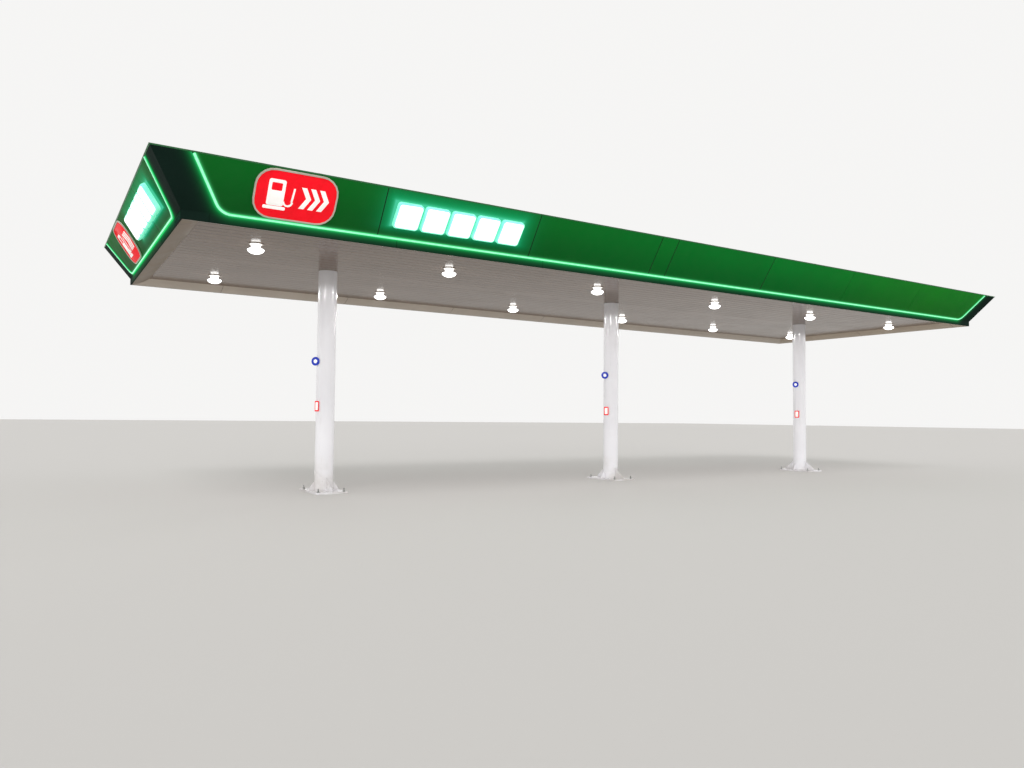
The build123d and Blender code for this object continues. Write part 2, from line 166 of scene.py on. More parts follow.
class Shader:
    # one material; every node but the arithmetic comes from node()
    def __init__(self, name):
        self.material = bpy.data.materials.new(name)
        self.material.use_nodes = True
        self.tree = self.material.node_tree
        self.principled = self.tree.nodes["Principled BSDF"]
        self.space = None

    def plug(self, socket, value):
        if isinstance(value, Sock):
            self.tree.links.new(value.socket, socket)
        else:
            socket.default_value = value

    def node(self, kind, settings=None, values=None, output=0):
        made = self.tree.nodes.new(kind)
        for key, value in (settings or {}).items():
            setattr(made, key, value)
        for key, value in (values or {}).items():
            self.plug(made.inputs[key], value)
        return Sock(self, made.outputs[output])

    def math(self, operation, *values):
        return self.node("ShaderNodeMath", {"operation": operation}, dict(enumerate(values)))

    def mix(self, factor, first, second):
        return self.node("ShaderNodeMix", {"data_type": "RGBA"}, {0: factor, 6: first, 7: second}, 2)

    def own(self):
        # the object's own coordinates
        if self.space is None:
            self.space = self.node("ShaderNodeTexCoord", output=3)
        return self.space

    def place(self):
        split = self.node("ShaderNodeSeparateXYZ", values={0: self.own()})
        return split, Sock(self, split.socket.node.outputs[1]), Sock(self, split.socket.node.outputs[2])

    def vector(self, x, y, z):
        return self.node("ShaderNodeCombineXYZ", values={0: x, 1: y, 2: z})

    def noise(self, vector, scale, detail=3.0, roughness=0.55):
        values = {"Vector": vector, "Scale": scale, "Detail": detail, "Roughness": roughness}
        return self.node("ShaderNodeTexNoise", values=values)

    def grain(self, scale, detail=3.0, roughness=0.55):
        return self.noise(self.own(), scale, detail, roughness)

    def smooth(self, value, low, high, start=0.0, stop=1.0):
        values = {0: value, 1: low, 2: high, 3: start, 4: stop}
        return self.node("ShaderNodeMapRange", {"interpolation_type": "SMOOTHSTEP"}, values)

    def tones(self, value, low, high, first, second):
        # from one screen colour to another, as the value goes from low to high
        return self.mix(self.smooth(value, low, high), linear(*first), linear(*second))

    def bump(self, height, distance, strength=1.0, below=None):
        values = {"Height": height, "Distance": distance, "Strength": strength}
        if below is not None:
            values["Normal"] = below
        return self.node("ShaderNodeBump", values=values)

    def finish(self, **values):
        # Base_Color=..., Roughness=... and so on, with _ for a space
        for key, value in values.items():
            self.plug(self.principled.inputs[key.replace("_", " ")], value)
        return self.material


def facePlace(shader):
    # along and up the sheet from the fold's middle, how far in front of the leaning face,
    # and where the light line's slanted end would meet the fold
    x, y, z = shader.place()
    overX = abs(x) - roof["halfLength"]
    overY = abs(y) - roof["halfWidth"]
    long = overY.over(overX)
    reach = overX.atLeast(overY)
    along = abs(x) * long + abs(y) * (1 - long)
    rise = z - roof["foldHeight"]
    leaning = rise.over(0.0)
    slope = rise * math.cos(leanAngle) + reach * math.sin(leanAngle)
    up = slope * leaning + rise * (1 - leaning)
    out = (reach * math.cos(leanAngle) - rise * math.sin(leanAngle)) * leaning
    edge = long * (roof["halfLength"] - roof["halfWidth"]) + roof["halfWidth"] - roof["cornerStrip"]
    return along, up, out, edge


def lightDistance(along, up, edge):
    # distance from the light line's path, over 0 on the border and under 0 on the field
    steep = math.hypot(1, leanRate)
    bend = roof["lightBend"]
    beside = (along - edge - up * leanRate) / steep
    straight = beside.atLeast(lightV - up)
    du = along - edge - (lightV + bend) * leanRate + bend * steep
    dv = up - lightV - bend
    inBend = du.over(0.0) * (1 - (du * leanRate + dv).over(0.0))
    curved = (du * du + dv * dv) ** 0.5 - bend
    return curved * inBend + straight * (1 - inBend)


def lampPlace(x, y):
    # x and y from the middle of the nearest lamp, and the distance to it
    localX = (x / lamps["pitch"] + 8.0).math("FRACT") * lamps["pitch"] - lamps["pitch"] / 2
    localY = abs(y) - lamps["rowOffset"]
    return localX, localY, (localX * localX + localY * localY) ** 0.5


def weather(shader, x, y, z, streak=1.0):
    # faint run marks down a face, with cloudy dirt between them
    along = shader.vector(x * 3.0, y * 3.0, z * 0.25)
    runs = shader.noise(along, 2.2 * streak, 4.0, 0.6)
    cloud = shader.grain(0.9, 4.0, 0.6)
    return runs, cloud


def fasciaGreen(name, side=None):
    # satin green coated trays, with painted light and shade: lighter upwards, a painted glow beside the
    # light line, a near-black green behind the leaning face; side is where luminous blocks light the face
    shader = Shader(name)
    x, y, z = shader.place()
    along, up, out, edge = facePlace(shader)
    runs, cloud = weather(shader, x, y, z)
    # painted light: the green is lighter towards the top of each face
    high = shader.smooth(up, 0.1, 0.95)
    base = shader.mix(high, linear(10, 82, 27), linear(12, 102, 33))
    # painted light and highlight: the front face is lighter towards its right and yellower at its right end
    if side == "front":
        right = shader.smooth(x, -8.5, 0.5)
        base = shader.mix(right, base, shader.mix(high, linear(4, 94, 32), linear(6, 118, 40)))
        end = shader.smooth(x, 2.5, 8.5)
        base = shader.mix(end * 0.8, base, shader.mix(high, linear(20, 104, 24), linear(22, 122, 28)))
    base = shader.mix(shader.smooth(cloud, 0.4, 0.75) * 0.3, base, linear(14, 98, 33))
    base = shader.mix(shader.smooth(runs, 0.6, 0.85) * 0.2, base, linear(24, 94, 42))
    tray = x if side != "left" else y
    pastJoint = tray.over(joints["stepAt"])
    fromStep = tray - joints["stepFrom"] - pastJoint * joints["stepWidth"]
    index = (fromStep / roof["sheetLength"]).math("FLOOR")
    tone = shader.noise(shader.vector(index + pastJoint, 0.0, 3.7), 1.7, 0.0)
    base = shader.mix(shader.smooth(tone, 0.35, 0.65) * 0.14, base, linear(10, 84, 34))
    # painted glow: this emission colour stands in for the light that the light line casts on the face, and
    # below, for the light of the blocks
    inside = -lightDistance(along, up, edge) - roof["lightRadius"]
    near = inside.atLeast(0.0).fade(0.014)
    light = shader.mix(near * 0.75, black, linear(80, 200, 125))
    if side is not None:
        place = signs[side]
        middle = place["blocksU"] if side == "front" else -place["blocksU"]
        halfRow = place["pitch"] * signs["blockCount"] / 2
        du = (abs(tray - middle) - halfRow).atLeast(0.0)
        over = up - place["blocksV"] - signs["blockHeight"] / 2
        under = place["blocksV"] - signs["blockHeight"] / 2 - up
        dv = over.atLeast(0.0) + under.atLeast(0.0) * 2.4
        away = (du * du + dv * dv) ** 0.5
        light = shader.mix(away.fade(0.15), light, linear(6, 142, 96))
        light = shader.mix(away.fade(0.025) * 0.7, light, linear(84, 200, 172))
    # painted shade: what lies behind the leaning face gets no glow and a near-black green
    onFace = out.over(-skin)
    light = shader.mix(onFace, black, light)
    base = shader.mix(onFace, linear(6, 22, 12), base)
    waves = shader.noise(shader.vector(x, y, z * 0.6), 1.1, 1.0)
    peel = shader.grain(160.0, 1.0)
    normal = shader.bump(waves, 0.006, 0.5)
    normal = shader.bump(peel, 0.0004, 0.25, normal)
    return shader.finish(
        Base_Color=base, Roughness=0.45, Normal=normal, Emission_Color=light,
        Emission_Strength=1.0, Specular_IOR_Level=0.0,
        Coat_Weight=shader.smooth(runs, 0.3, 0.8, 0.16, 0.08), Coat_Roughness=0.12,
    )


def borderDark():
    # charcoal border round the light line, lit green beside it
    shader = Shader("borderDark")
    x, y, z = shader.place()
    along, up, out, edge = facePlace(shader)
    runs, cloud = weather(shader, x, y, z)
    base = shader.tones(cloud, 0.3, 0.75, (14, 30, 24), (18, 35, 29))
    base = shader.mix(shader.smooth(runs, 0.55, 0.85) * 0.35, base, linear(34, 46, 41))
    onBand = 1 - (up + 0.003).over(0.0)
    joint = abs((along / roof["sheetLength"]).math("FRACT") - 0.5) * roof["sheetLength"]
    seam = (1 - shader.smooth(joint, 0.0015, 0.004)) * onBand
    base = shader.mix(seam, base, linear(4, 8, 6))
    away = lightDistance(along, up, edge).atLeast(0.0)
    wide = away.fade(0.044)
    near = (away - roof["lightRadius"]).atLeast(0.0).fade(0.011)
    light = shader.mix(wide, black, linear(4, 198, 90))
    light = shader.mix(near * 0.5, light, linear(60, 220, 130))
    onFace = out.over(-skin)
    light = shader.mix(onFace * (1 - seam), black, light)
    waves = shader.grain(1.4, 1.0)
    normal = shader.bump(waves, 0.005, 0.4)
    normal = shader.bump(seam * -1.0, 0.003, 1.0, normal)
    return shader.finish(
        Base_Color=base, Roughness=0.45, Normal=normal, Emission_Color=light,
        Emission_Strength=1.0, Specular_IOR_Level=0.0,
        Coat_Weight=shader.smooth(runs, 0.3, 0.8, 0.07, 0.04), Coat_Roughness=0.12,
    )


def capFlashing():
    # grey-green coated sheet, dusty on its flat top
    shader = Shader("capFlashing")
    x, y, z = shader.place()
    runs, cloud = weather(shader, x, y, z)
    top = roof["topHeight"]
    dust = shader.smooth(cloud, 0.4, 0.7) * shader.smooth(z, top - 0.006, top - 0.001)
    base = shader.tones(runs, 0.3, 0.8, (38, 98, 56), (50, 108, 66))
    base = shader.mix(dust * 0.6, base, linear(120, 126, 112))
    normal = shader.bump(shader.grain(2.2, 2.0), 0.004, 0.4)
    return shader.finish(
        Base_Color=base, Roughness=shader.smooth(cloud, 0.3, 0.8, 0.34, 0.55), Normal=normal,
        Specular_IOR_Level=0.3,
    )


def soffitStrips():
    # gloss coated strips along the roof, their long edges rolled up into the grooves, so
    # what they mirror breaks at every strip
    shader = Shader("soffitStrips")
    x, y, z = shader.place()
    strip = (y / roof["stripWidth"]).math("FLOOR")
    inStrip = abs(y / roof["stripWidth"] - strip - 0.5) * 2
    tone = shader.node("ShaderNodeTexWhiteNoise", {"noise_dimensions": "1D"}, {"W": strip + 0.5})
    waves = shader.noise(shader.vector(x * 0.9, strip * 7.3, 0.0), 1.6, 2.0)
    ripples = shader.noise(shader.vector(x * 2.4, y * 6.0, strip * 3.1), 2.5, 2.0)
    dirt = shader.noise(shader.vector(x * 0.5, y * 0.8, 0.0), 1.3, 5.0, 0.6)
    base = shader.tones(tone, 0.0, 1.0, (98, 81, 68), (103, 86, 73))
    base = shader.mix(shader.smooth(dirt, 0.45, 0.8) * 0.5, base, linear(92, 78, 64))
    rolled = shader.smooth(inStrip, 0.84, 0.98)
    normal = shader.bump(rolled * -1.0, 0.0008, 0.6)
    normal = shader.bump(waves, 0.012, 0.4, normal)
    normal = shader.bump(ripples, 0.002, 0.4, normal)
    return shader.finish(
        Base_Color=base, Roughness=shader.smooth(dirt, 0.3, 0.8, 0.1, 0.18), Normal=normal,
        Specular_IOR_Level=0.1,
    )


def coveTrim():
    # the same coat on the curved trim, with butt joints along it; written lighter than on the soffit strips
    # as painted light, and darker on the end coves as painted shade
    shader = Shader("coveTrim")
    x, y, z = shader.place()
    cloud = shader.grain(1.2, 4.0, 0.6)
    long = abs(y).over(abs(x) - (roof["halfLength"] - roof["halfWidth"]))
    along = x * long + y * (1 - long)
    joint = abs((along / roof["sheetLength"] + 0.5).math("FRACT") - 0.5) * roof["sheetLength"]
    line = 1 - shader.smooth(joint, 0.002, 0.006)
    # painted shade: the end coves are darker than the long ones, the left end most
    leftEndShade = shader.tones(cloud, 0.35, 0.75, (118, 105, 91), (127, 113, 98))
    rightEndShade = shader.tones(cloud, 0.35, 0.75, (164, 151, 136), (172, 159, 144))
    base = shader.tones(cloud, 0.35, 0.75, (170, 160, 149), (177, 167, 156))
    base = shader.mix(long, shader.mix(x.over(0.0), leftEndShade, rightEndShade), base)
    base = shader.mix(line, base, linear(48, 44, 40))
    normal = shader.bump(shader.grain(1.5, 2.0), 0.006, 0.5)
    normal = shader.bump(line * -1.0, 0.003, 1.0, normal)
    return shader.finish(
        Base_Color=base, Roughness=shader.smooth(cloud, 0.3, 0.8, 0.34, 0.46), Normal=normal,
        Specular_IOR_Level=0.06,
    )


def columnPaint():
    # gloss white coat on rolled tube, dusty towards the foot
    shader = Shader("columnPaint")
    x, y, z = shader.place()
    runs, cloud = weather(shader, x, y, z, 2.0)
    foot = 1 - shader.smooth(z, 0.0, 1.1)
    splash = foot * shader.smooth(cloud, 0.35, 0.75)
    base = shader.tones(cloud, 0.3, 0.8, (222, 221, 225), (229, 228, 231))
    base = shader.mix(shader.smooth(runs, 0.58, 0.8) * 0.3, base, linear(196, 194, 190))
    base = shader.mix(splash * 0.75, base, linear(158, 150, 138))
    scuffs = shader.noise(shader.vector(x * 9.0, y * 9.0, z * 2.5), 3.0, 5.0, 0.7)
    scuffMask = shader.smooth(scuffs, 0.66, 0.72) * (1 - shader.smooth(z, 0.9, 1.9))
    base = shader.mix(scuffMask * 0.6, base, linear(120, 118, 114))
    peel = shader.grain(90.0, 2.0)
    normal = shader.bump(shader.noise(shader.vector(x, y, z * 0.3), 3.0, 1.0), 0.002, 0.25)
    normal = shader.bump(peel, 0.0005, 0.3, normal)
    rough = shader.smooth(splash + scuffMask, 0.0, 1.0, 0.13, 0.5)
    return shader.finish(
        Base_Color=base, Roughness=rough, Normal=normal, Coat_Weight=0.4, Coat_Roughness=0.06,
    )


def frameSteel():
    # grey primed steel with scale marks and thin rust at its edges
    shader = Shader("frameSteel")
    cloud = shader.grain(2.4, 5.0, 0.65)
    fine = shader.grain(38.0, 3.0, 0.6)
    base = shader.tones(cloud, 0.3, 0.75, (112, 117, 119), (132, 136, 137))
    rust = shader.smooth(fine, 0.66, 0.74) * shader.smooth(cloud, 0.5, 0.7)
    base = shader.mix(rust * 0.8, base, linear(120, 74, 44))
    normal = shader.bump(fine, 0.0012, 0.4)
    return shader.finish(
        Base_Color=base, Roughness=shader.smooth(cloud + rust * 0.4, 0.3, 1.0, 0.42, 0.75),
        Normal=normal,
    )


def deckSheet():
    # zinc-grey coated sheet: dust in the pans, tide marks towards the gutter
    shader = Shader("deckSheet")
    x, y, z = shader.place()
    down = abs(y)
    flow = shader.noise(shader.vector(x * 6.0, down * 0.5, 0.0), 1.5, 5.0, 0.6)
    cloud = shader.noise(shader.vector(x, y, 0.0), 0.8, 5.0, 0.65)
    speck = shader.grain(60.0, 2.0)
    base = shader.tones(cloud, 0.3, 0.75, (172, 177, 180), (190, 194, 196))
    base = shader.mix(shader.smooth(flow, 0.5, 0.75) * 0.5, base, linear(138, 138, 130))
    tide = (1 - shader.smooth(down, 0.25, 1.3)) * shader.smooth(flow, 0.35, 0.7)
    base = shader.mix(tide * 0.55, base, linear(112, 108, 96))
    oil = shader.noise(shader.vector(x * 2.0, y * 0.7, 0.0), 1.2, 1.0)
    normal = shader.bump(oil, 0.006, 0.5)
    normal = shader.bump(speck, 0.0006, 0.3, normal)
    return shader.finish(
        Base_Color=base, Roughness=shader.smooth(flow, 0.2, 0.8, 0.34, 0.6), Metallic=0.35,
        Normal=normal,
    )


def gutterZinc():
    # galvanised sheet with its spangle, silt along the bottom
    shader = Shader("gutterZinc")
    x, y, z = shader.place()
    spangle = shader.node(
        "ShaderNodeTexVoronoi",
        {"feature": "F1"},
        {"Vector": shader.vector(x, y, z), "Scale": 55.0, "Randomness": 1.0},
        1,
    )
    grey = shader.node("ShaderNodeRGBToBW", values={0: spangle})
    silt = shader.noise(shader.vector(x * 1.6, y * 5.0, 0.0), 1.4, 5.0, 0.65)
    floor = roof["gutterFloor"]
    low = 1 - shader.smooth(z, floor + 0.0005, floor + 0.0425)
    base = shader.mix(grey, linear(140, 146, 150), linear(176, 181, 184))
    base = shader.mix(low * shader.smooth(silt, 0.42, 0.6) * 0.8, base, linear(84, 76, 62))
    return shader.finish(
        Base_Color=base, Roughness=shader.smooth(grey + low, 0.0, 2.0, 0.32, 0.62), Metallic=0.6,
        Normal=shader.bump(silt, 0.004, 0.4),
    )


def lampEnamel():
    # white enamel that takes light from the glass, its flange in the soffit's colour
    shader = Shader("lampEnamel")
    x, y, z = shader.place()
    cloud = shader.grain(14.0, 4.0, 0.6)
    reach = lampPlace(x, y)[2]
    base = shader.tones(cloud, 0.4, 0.8, (226, 226, 224), (206, 204, 198))
    base = shader.mix(shader.smooth(reach, 0.1, 0.12), base, linear(138, 126, 115))
    light = shader.tones(reach, 0.094, 0.13, (238, 236, 230), (0, 0, 0))
    peel = shader.grain(140.0, 1.0)
    return shader.finish(
        Base_Color=base, Roughness=shader.smooth(cloud, 0.3, 0.8, 0.2, 0.36),
        Normal=shader.bump(peel, 0.0004, 0.3), Emission_Color=light, Emission_Strength=0.8,
        Coat_Weight=0.2, Coat_Roughness=0.1,
    )


def lampGlass():
    # lit prismatic glass: ribs run from its middle to its rim
    shader = Shader("lampGlass")
    x, y, z = shader.place()
    localX, localY, reach = lampPlace(x, y)
    angle = shader.math("ARCTAN2", localY, localX)
    ribs = (angle * 40.0).math("COSINE")
    rings = (reach * 420.0).math("COSINE")
    core = 1 - shader.smooth(reach, 0.04, 0.15)
    normals = shader.node("ShaderNodeNewGeometry", output=1)
    facing = shader.node("ShaderNodeSeparateXYZ", values={0: normals}, output=2)
    light = shader.mix(core, linear(244, 245, 246), linear(255, 253, 249))
    light = shader.mix(shader.smooth(ribs, -1.0, -0.3, 0.25, 0.0), light, linear(186, 192, 198))
    light = shader.mix(shader.smooth(-facing, -0.95, -0.5), linear(70, 72, 76), light)
    normal = shader.bump(ribs * 0.6 + rings * 0.4, 0.003, 0.6)
    return shader.finish(
        Base_Color=linear(238, 240, 240), Roughness=0.12, Normal=normal, Emission_Color=light,
        Emission_Strength=4.0, Coat_Weight=0.5, Coat_Roughness=0.05,
    )


def lightTube():
    # luminous tube: a milky skin over the light, a little uneven along its run, with its sunk half painted
    # dark as shade and giving no light
    shader = Shader("lightTube")
    out = facePlace(shader)[2]
    dots = shader.grain(14.0, 1.0)
    light = shader.tones(dots, 0.3, 0.7, (152, 252, 198), (172, 255, 214))
    light = shader.mix(shader.smooth(out, 0.008, 0.021), linear(26, 196, 96), light)
    shown = out.over(-2 * skin)
    light = shader.mix(shown, black, light)
    return shader.finish(
        Base_Color=shader.mix(shown, linear(6, 22, 12), linear(40, 120, 78)), Roughness=0.3,
        Emission_Color=light, Emission_Strength=1.0, Specular_IOR_Level=0.2,
    )


def luminous(name, first, second, strength):
    # lit opal acrylic of the raised blocks
    shader = Shader(name)
    cloud = shader.grain(6.0, 2.0)
    light = shader.tones(cloud, 0.3, 0.7, first, second)
    return shader.finish(
        Base_Color=light, Roughness=0.3, Emission_Color=light, Emission_Strength=strength,
        Specular_IOR_Level=0.1,
    )


def signPaint(name, first, second, lit=0.0):
    # coated sign face with light wear; if lit is over 0 it glows, as a sign lit from inside, and as painted
    # light on plates that have no lamp
    shader = Shader(name)
    cloud = shader.grain(5.0, 4.0, 0.6)
    base = shader.tones(cloud, 0.3, 0.75, first, second)
    peel = shader.grain(120.0, 1.0)
    return shader.finish(
        Base_Color=base, Roughness=0.4, Normal=shader.bump(peel, 0.0004, 0.25),
        Emission_Color=base, Emission_Strength=lit, Specular_IOR_Level=0.0,
        Coat_Weight=shader.smooth(cloud, 0.3, 0.8, 0.35, 0.2), Coat_Roughness=0.1,
    )


def zincBolts():
    # zinc plated fixings, dulled in patches
    shader = Shader("zincBolts")
    cloud = shader.grain(40.0, 4.0, 0.6)
    base = shader.tones(cloud, 0.35, 0.7, (150, 152, 150), (184, 186, 184))
    return shader.finish(
        Base_Color=base, Roughness=shader.smooth(cloud, 0.3, 0.8, 0.28, 0.5), Metallic=0.85,
        Normal=shader.bump(cloud, 0.0006, 0.4),
    )


finishes = {
    "frontGreen": fasciaGreen("frontGreen", "front"),
    "leftGreen": fasciaGreen("leftGreen", "left"),
    "plainGreen": fasciaGreen("plainGreen"),
    "border": borderDark(),
    "cap": capFlashing(),
    "soffit": soffitStrips(),
    "cove": coveTrim(),
    "column": columnPaint(),
    "steel": frameSteel(),
    "deck": deckSheet(),
    "gutter": gutterZinc(),
    "enamel": lampEnamel(),
    "glass": lampGlass(),
    "tube": lightTube(),
    "blockFace": luminous("blockFace", (236, 250, 246), (246, 255, 251), 0.95),
    # the block bodies are a dimmer, greener copy of the lit acrylic: painted shade and glow, so that the
    # step round each face shows
    "blockSide": luminous("blockSide", (120, 232, 196), (140, 240, 206), 0.55),
    # signRed and signWhite glow; on the column tags, tag faces and disc spots, which have no lamp, that glow
    # is painted light
    "signRed": signPaint("signRed", (214, 12, 26), (228, 16, 32), 0.4),
    "signWhite": signPaint("signWhite", (232, 230, 226), (242, 241, 238), 0.3),
    "signRim": signPaint("signRim", (178, 172, 158), (192, 187, 174)),
    "signBlue": signPaint("signBlue", (44, 62, 176), (54, 76, 196)),
    "bolts": zincBolts(),
    "gasket": signPaint("gasket", (6, 22, 12), (10, 27, 16)),
}


# By the end of a node's name; what is in no row is frame steel
endings = {
    "_lip": "border",
    "cap_flashing": "cap",
    "light_line": "tube",
    "soffit_cove": "cove",
    "_soffit": "soffit",
    "roof_deck": "deck",
    "roof_gutter": "gutter",
    "lamp_housings": "enamel",
    "lamp_glasses": "glass",
}


def finishOf(name):
    if name.endswith("fascia_panels"):
        return finishes.get(name.split("_")[0] + "Green", finishes["plainGreen"])
    if name.startswith("corner"):
        return finishes["border"]
    if name.startswith("column"):
        return finishes["column"]
    for ending, finish in endings.items():
        if name.endswith(ending):
            return finishes[finish]
    return finishes["steel"]


for name, node in nodes.items():
    for slot in node.material_slots:
        slot.material = finishOf(name)
print("finishes set:", len(finishes))


def shift(x, y, z):
    return Matrix.Translation((x, y, z))


def turnX(angle):
    return Matrix.Rotation(angle, 4, "X")


def turnZ(angle):
    return Matrix.Rotation(angle, 4, "Z")


# The rear is the front turned round, and the right side is the left
turned = {"rear": "front", "right": "left"}
sides = ("front", "rear", "left", "right")


def faceMatrix(side):
    # from a leaning face's u, v and height over it to the roof's own axes
    if side in turned:
        return turnZ(math.pi) @ faceMatrix(turned[side])
    lift = math.sin(leanAngle)
    out = math.cos(leanAngle)
    if side == "front":
        along, up, normal = Vector((1, 0, 0)), Vector((0, -lift, out)), Vector((0, -out, -lift))
        origin = Vector((0, -roof["halfWidth"], roof["foldHeight"]))
    else:
        along, up, normal = Vector((0, -1, 0)), Vector((-lift, 0, out)), Vector((-out, 0, -lift))
        origin = Vector((-roof["halfLength"], 0, roof["foldHeight"]))
    turn = Matrix((along, up, normal)).transposed().to_4x4()
    return Matrix.Translation(origin) @ turn


def edgeMatrix(side):
    # the same, from along, outwards from the lip line, and height over the ground
    if side in turned:
        return turnZ(math.pi) @ edgeMatrix(turned[side])
    if side == "front":
        turn = Matrix(((1, 0, 0), (0, -1, 0), (0, 0, 1))).to_4x4()
        return shift(0, -roof["halfWidth"], 0) @ turn
    turn = Matrix(((0, -1, 0), (-1, 0, 0), (0, 0, 1))).to_4x4()
    return shift(-roof["halfLength"], 0, 0) @ turn


def reachAt(height):
    # how far the leaning face is out from the lip line
    return (height - roof["foldHeight"]) * math.tan(leanAngle)


def placed(bm, matrix):
    bmesh.ops.transform(bm, matrix=matrix, verts=bm.verts[:])
    return bm


def joinInto(target, source, matrix):
    # moves a finished part into the piece in work
    step = bpy.data.meshes.new("step")
    placed(source, matrix).to_mesh(step)
    source.free()
    target.from_mesh(step)
    bpy.data.meshes.remove(step)


def makePiece(name, bm, finish, sharp=math.radians(32)):
    bmesh.ops.recalc_face_normals(bm, faces=bm.faces[:])
    for face in bm.faces:
        face.smooth = True
    for edge in bm.edges:
        if len(edge.link_faces) == 2 and edge.calc_face_angle(0) > sharp:
            edge.smooth = False
    mesh = bpy.data.meshes.new(name)
    bm.to_mesh(mesh)
    bm.free()
    mesh.materials.append(finishes[finish])
    piece = bpy.data.objects.new(name, mesh)
    bpy.context.scene.collection.objects.link(piece)
    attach(piece, "root")
    return piece


def ease(bm, geom, offset, segments, affect="EDGES"):
    bmesh.ops.bevel(
        bm, geom=geom, offset=offset, offset_type="OFFSET", affect=affect, segments=segments,
        profile=0.5, material=-1,
    )


def roundedFace(bm, size, radius, slant=0.0, segments=5):
    # flat outline with round corners, leaning right by slant over its height
    corners = []
    for sx, sy in ((-1, -1), (1, -1), (1, 1), (-1, 1)):
        corners.append(bm.verts.new((sx * size[0] / 2 + sy * slant / 2, sy * size[1] / 2, 0)))
    bm.faces.new(corners)
    ease(bm, corners, radius, segments, "VERTICES")


def thicken(bm, depth, edge=0.0):
    # gives the flat outline its depth, with its front edge eased
    top = bmesh.ops.extrude_face_region(bm, geom=bm.faces[:])["geom"]
    verts = [v for v in top if isinstance(v, bmesh.types.BMVert)]
    bmesh.ops.translate(bm, vec=(0, 0, depth), verts=verts)
    if edge > 0:
        rim = [e for e in bm.edges if all(abs(v.co.z - depth) < 1e-6 for v in e.verts) and not e.is_boundary]
        rim = [e for e in rim if any(abs(f.normal.z) < 0.5 for f in e.link_faces)]
        ease(bm, rim, edge, 2)


def plate(size, radius, depth, slant=0.0, edge=0.004, segments=5):
    bm = bmesh.new()
    roundedFace(bm, size, radius, slant, segments)
    bm.normal_update()
    thicken(bm, depth, edge)
    return bm


def ringPlate(size, radius, depth, hole, holeRadius, holeAt=(0.0, 0.0), edge=0.0):
    # a plate with one round-cornered opening
    bm = bmesh.new()
    roundedFace(bm, size, radius)
    inner = bmesh.new()
    roundedFace(inner, hole, holeRadius)
    joinInto(bm, inner, shift(holeAt[0], holeAt[1], 0))
    edges = bm.edges[:]
    bmesh.ops.delete(bm, geom=bm.faces[:], context="FACES_ONLY")
    bmesh.ops.bridge_loops(bm, edges=edges)
    bmesh.ops.recalc_face_normals(bm, faces=bm.faces[:])
    if sum(f.normal.z for f in bm.faces) < 0:
        bmesh.ops.reverse_faces(bm, faces=bm.faces[:])
    thicken(bm, depth, edge)
    return bm


def addCone(bm, segments, wide, tight, low, high):
    # closed cone or cylinder from one height to another, with its radii there
    made = bmesh.ops.create_cone(
        bm, cap_ends=True, segments=segments, radius1=wide, radius2=tight, depth=high - low
    )
    bmesh.ops.translate(bm, vec=(0, 0, (low + high) / 2), verts=made["verts"])


def spun(outline, steps, closed=True):
    # outline of radius and height, turned round Z; an open one gets flat ends
    bm = bmesh.new()
    line = [bm.verts.new((radius, 0, height)) for radius, height in outline]
    pairs = list(zip(line, line[1:]))
    if closed:
        pairs.append((line[-1], line[0]))
    edges = [bm.edges.new(pair) for pair in pairs]
    bmesh.ops.spin(
        bm, geom=line + edges, angle=math.tau, steps=steps, axis=(0, 0, 1), cent=(0, 0, 0),
        use_merge=True,
    )
    bmesh.ops.remove_doubles(bm, verts=bm.verts[:], dist=0.0001)
    if not closed:
        bmesh.ops.holes_fill(bm, edges=[e for e in bm.edges if e.is_boundary])
    return bm


anchor = {
    "across": 0.046,
    "nut": 0.026,
    "washer": 0.06,
    "washerHeight": 0.005,
    "rod": 0.03,
    "rodHeight": 0.075,
}


def hexBolt():
    # washer, hex nut with its eased top and the end of the rod, standing on z = 0
    bm = bmesh.new()
    corner = anchor["across"] / 2 / math.cos(math.pi / 6)
    foot = anchor["washerHeight"]
    shoulder = foot + anchor["nut"] * 0.85
    addCone(bm, 24, anchor["washer"] / 2, anchor["washer"] / 2, 0, foot)
    addCone(bm, 6, corner, corner, foot, shoulder)
    addCone(bm, 6, corner, corner * 0.86, shoulder, foot + anchor["nut"])
    addCone(bm, 16, anchor["rod"] / 2, anchor["rod"] * 0.44, foot, foot + anchor["rodHeight"])
    return bm


def makeAnchors():
    bm = bmesh.new()
    for place in columns["places"]:
        for sx in (-1, 1):
            for sy in (-1, 1):
                turn = turnZ(0.4 * sx + 0.7 * sy + place)
                at = (place + sx * columns["anchorX"], sy * columns["anchorY"], columns["plateTop"])
                joinInto(bm, hexBolt(), Matrix.Translation(at) @ turn)
    makePiece("anchor_bolts", bm, "bolts")


makeAnchors()

weld = {"leg": 0.009, "throat": 0.62, "sunk": 0.001, "segments": 48}


def makeWelds():
    # fillet weld round each tube, on the base plate
    bm = bmesh.new()
    radius = columns["radius"]
    inner = radius - weld["sunk"]
    leg = weld["leg"]
    middle = leg * weld["throat"]
    outline = ((inner, 0), (radius + leg, 0), (radius + middle, middle), (inner, leg))
    for place in columns["places"]:
        bead = spun(outline, weld["segments"])
        joinInto(bm, bead, shift(place, 0, columns["plateTop"]))
    makePiece("column_welds", bm, "column")


makeWelds()

bell = {
    "segments": 64,
    # radius, and height from the flange
    "head": ((0.085, 0.0), (0.0855, -0.028), (0.083, -0.046), (0.083, -0.058)),
    "bowl": (
        (0.083, -0.058), (0.09, -0.065), (0.112, -0.075), (0.138, -0.088), (0.149, -0.1),
        (0.15, -0.109), (0.145, -0.12), (0.128, -0.14), (0.1, -0.158), (0.062, -0.171),
        (0.03, -0.1765), (0.0, -0.178),
    ),
}


